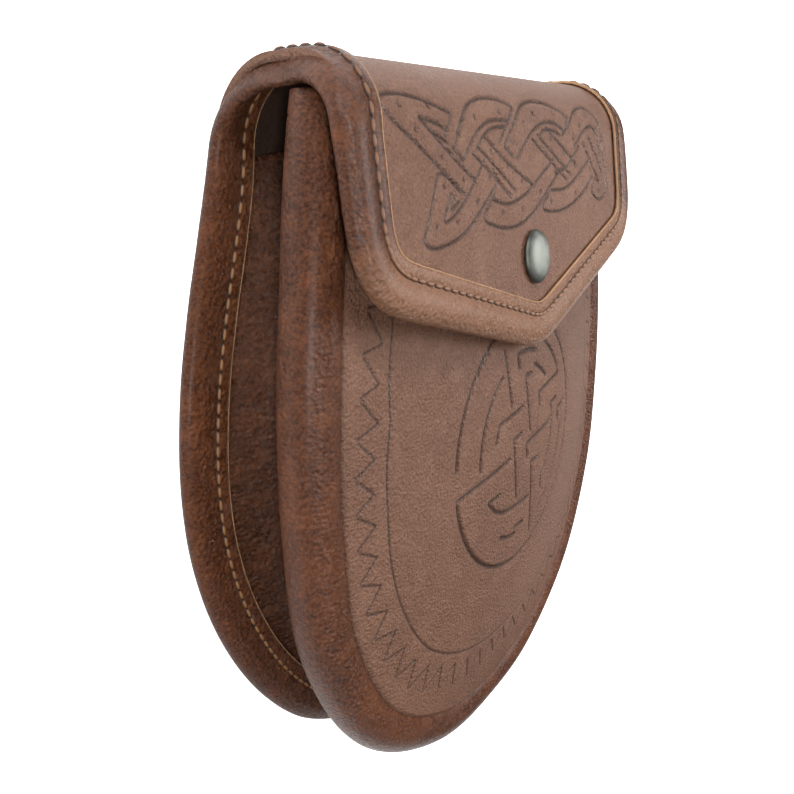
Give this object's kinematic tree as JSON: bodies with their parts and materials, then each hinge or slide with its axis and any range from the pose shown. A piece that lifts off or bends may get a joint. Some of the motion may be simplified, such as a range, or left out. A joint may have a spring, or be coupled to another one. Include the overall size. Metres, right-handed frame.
{
  "type": "sporran pouch",
  "caption": "Leather sporran pouch with a domed embossed front, padded rolled edges, a folded gusset and a fold-over flap closed by a snap, lying on its back",
  "frame": {"origin": "centre of the bounding box in X and Y, at the surface the pouch lies on", "axes": "+Z out of the front, +Y toward the fold, +X to the right seen from the front"},
  "size_m": [0.1888, 0.2032, 0.0531],
  "materials": {
    "panel_leather": "matte fine-grained brown leather, tooled",
    "roll_leather": "polished red-brown leather with fine creases",
    "gusset_leather": "soft semi-gloss red-brown leather",
    "loop_leather": "plain brown leather",
    "gunmetal": "smooth gunmetal plating"
  },
  "bodies": {
    "root": {"back_flap_panel": "panel_leather", "edge_binding": "roll_leather", "front_panel": "panel_leather", "front_roll": "roll_leather", "gusset": "gusset_leather", "snap_cap": "gunmetal", "snap_stud": "gunmetal", "belt_loop": "loop_leather"}
  },
  "joints": []
}
